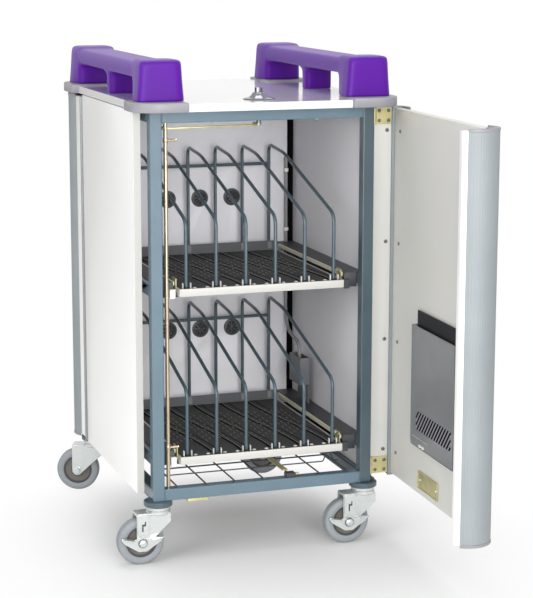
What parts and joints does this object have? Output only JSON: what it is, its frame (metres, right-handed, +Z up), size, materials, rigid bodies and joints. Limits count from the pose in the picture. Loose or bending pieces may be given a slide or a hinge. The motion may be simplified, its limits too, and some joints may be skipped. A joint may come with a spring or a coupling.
{
  "type": "laptop charging cart",
  "caption": "Tall charging cart on castors: steel frame, white boards, round-cornered doors, sliding trays with wire laptop dividers and a turn-knob lock.",
  "frame": {"origin": "middle of the footprint on the floor, with the front door standing open as at rest", "axes": "+Z up, +X to the right of the open front, -Y towards the person in front of it"},
  "size_m": [0.6442, 1.1474, 1.058],
  "materials": {
    "frame_paint": "satin blue-grey powder coat",
    "white_board": "white laminated board",
    "door_board": "pale grey laminated board",
    "grey_board": "grey laminated board",
    "column_aluminium": "satin anodised extrusion",
    "cap_plastic": "grey moulded plastic",
    "purple_plastic": "satin purple moulding",
    "dark_steel": "dark grey coat",
    "yellow_zinc": "yellow zinc plate",
    "bright_zinc": "bright zinc plate",
    "chrome": "polished chrome",
    "tray_steel": "off-white powder coat",
    "mat_rubber": "matt black ribbed mat",
    "divider_coat": "dark blue-grey plastic coat",
    "black_plastic": "matt black",
    "smoke_plastic": "smoke grey moulding",
    "grey_tyre": "grey rubber tyre on a plastic hub"
  },
  "bodies": {
    "cart_frame": {"left_side_frame": "frame_paint", "right_side_frame": "frame_paint", "front_top_rail": "frame_paint", "front_bottom_rail": "frame_paint", "rear_top_rail": "frame_paint", "rear_bottom_rail": "frame_paint", "upper_left_runner": "dark_steel", "upper_right_runner": "dark_steel", "lower_left_runner": "dark_steel", "lower_right_runner": "dark_steel", "left_side_panel": "white_board", "right_side_panel": "white_board", "top_panel": "white_board", "inner_back_panel": "grey_board", "base_grid": "dark_steel", "front_left_corner_cap": "cap_plastic", "front_right_corner_cap": "cap_plastic", "rear_left_corner_cap": "cap_plastic", "rear_right_corner_cap": "cap_plastic", "left_handle": "purple_plastic", "right_handle": "purple_plastic", "lock_escutcheon": "chrome", "power_strip": "black_plastic", "plug_holder": "smoke_plastic", "power_lead": "black_plastic", "rear_hinge_fixed_leaf": "yellow_zinc"},
    "front_door": {"front_door_panel": "door_board", "front_door_hinge_column": "column_aluminium", "front_door_free_column": "column_aluminium", "front_door_hinge_strip": "door_board", "front_door_free_strip": "door_board", "front_door_hinge_plate_top": "yellow_zinc", "front_door_hinge_plate_bottom": "yellow_zinc", "door_pocket": "smoke_plastic", "strike_plate": "yellow_zinc"},
    "rear_door": {"rear_door_panel": "white_board", "rear_door_hinge_column": "column_aluminium", "rear_door_free_column": "column_aluminium", "rear_door_hinge_strip": "white_board", "rear_door_free_strip": "white_board", "rear_hinge_moving_leaf": "yellow_zinc"},
    "upper_tray_unit": {"upper_tray": "tray_steel", "upper_tray_mat": "mat_rubber", "upper_divider_rack": "divider_coat"},
    "lower_tray_unit": {"lower_tray": "tray_steel", "lower_tray_mat": "mat_rubber", "lower_divider_rack": "divider_coat"},
    "lock_knob_unit": {"lock_knob": "chrome"},
    "lock_link_unit": {"lock_link": "yellow_zinc"},
    "lock_rod_unit": {"lock_rod": "yellow_zinc"},
    "front_left_swivel": {"front_left_castor_fork": "bright_zinc"},
    "front_left_wheel": {"front_left_castor_wheel": "grey_tyre"},
    "front_right_swivel": {"front_right_castor_fork": "bright_zinc"},
    "front_right_wheel": {"front_right_castor_wheel": "grey_tyre"},
    "rear_left_swivel": {"rear_left_castor_fork": "bright_zinc"},
    "rear_left_wheel": {"rear_left_castor_wheel": "grey_tyre"},
    "rear_right_swivel": {"rear_right_castor_fork": "bright_zinc"},
    "rear_right_wheel": {"rear_right_castor_wheel": "grey_tyre"},
    "front_left_brake": {"front_left_brake_pedal": "bright_zinc"},
    "front_right_brake": {"front_right_brake_pedal": "bright_zinc"}
  },
  "joints": [
    {"name": "front_door_hinge", "type": "hinge", "parent": "cart_frame", "child": "front_door", "pos_m": [0.25088, -0.04325, 0.147], "axis": [0, 0, 1], "range_deg": [-88, 5]},
    {"name": "rear_door_hinge", "type": "hinge", "parent": "cart_frame", "child": "rear_door", "pos_m": [-0.27312, 0.42675, 0.147], "axis": [0, 0, 1], "range_deg": [0, 150]},
    {"name": "upper_tray_slide", "type": "slide", "parent": "cart_frame", "child": "upper_tray_unit", "axis": [0, -1, 0], "range_m": [0, 0.3]},
    {"name": "lower_tray_slide", "type": "slide", "parent": "cart_frame", "child": "lower_tray_unit", "axis": [0, -1, 0], "range_m": [0, 0.3]},
    {"name": "lock_turn", "type": "hinge", "parent": "cart_frame", "child": "lock_knob_unit", "pos_m": [-0.00012, -0.02325, 0.92], "axis": [0, 0, -1], "range_deg": [0, 90]},
    {"name": "lock_rod_turn", "type": "hinge", "parent": "cart_frame", "child": "lock_rod_unit", "pos_m": [-0.20812, -0.04525, 0.92], "axis": [0, 0, -1], "range_deg": [0, 90]},
    {"name": "lock_link_pivot", "type": "hinge", "parent": "lock_knob_unit", "child": "lock_link_unit", "pos_m": [-0.00012, 0.00175, 0.9127], "axis": [0, 0, -1], "range_deg": [-90, 0]},
    {"name": "front_left_castor_swivel", "type": "hinge", "parent": "cart_frame", "child": "front_left_swivel", "pos_m": [-0.23212, -0.04825, 0.124], "axis": [0, 0, 1], "continuous": true},
    {"name": "front_left_wheel_spin", "type": "hinge", "parent": "front_left_swivel", "child": "front_left_wheel", "pos_m": [-0.27212, -0.04825, 0.05], "axis": [0, 1, 0], "continuous": true},
    {"name": "front_right_castor_swivel", "type": "hinge", "parent": "cart_frame", "child": "front_right_swivel", "pos_m": [0.23188, -0.04825, 0.124], "axis": [0, 0, 1], "continuous": true},
    {"name": "front_right_wheel_spin", "type": "hinge", "parent": "front_right_swivel", "child": "front_right_wheel", "pos_m": [0.19188, -0.04825, 0.05], "axis": [0, 1, 0], "continuous": true},
    {"name": "rear_left_castor_swivel", "type": "hinge", "parent": "cart_frame", "child": "rear_left_swivel", "pos_m": [-0.23212, 0.52075, 0.124], "axis": [0, 0, 1], "continuous": true},
    {"name": "rear_left_wheel_spin", "type": "hinge", "parent": "rear_left_swivel", "child": "rear_left_wheel", "pos_m": [-0.26921, 0.53573, 0.05], "axis": [0.3746, 0.9272, 0], "continuous": true},
    {"name": "rear_right_castor_swivel", "type": "hinge", "parent": "cart_frame", "child": "rear_right_swivel", "pos_m": [0.23188, 0.52075, 0.124], "axis": [0, 0, 1], "continuous": true},
    {"name": "rear_right_wheel_spin", "type": "hinge", "parent": "rear_right_swivel", "child": "rear_right_wheel", "pos_m": [0.19227, 0.52631, 0.05], "axis": [0.1392, 0.9903, 0], "continuous": true},
    {"name": "front_left_brake_press", "type": "hinge", "parent": "front_left_swivel", "child": "front_left_brake", "pos_m": [-0.27212, -0.04825, 0.05], "axis": [0, -1, 0], "range_deg": [0, 15]},
    {"name": "front_right_brake_press", "type": "hinge", "parent": "front_right_swivel", "child": "front_right_brake", "pos_m": [0.19188, -0.04825, 0.05], "axis": [0, -1, 0], "range_deg": [0, 15]}
  ],
  "couplings": [
    {"joint": "lock_rod_turn", "follows": "lock_turn", "ratio": 1},
    {"joint": "lock_link_pivot", "follows": "lock_turn", "ratio": -1}
  ]
}
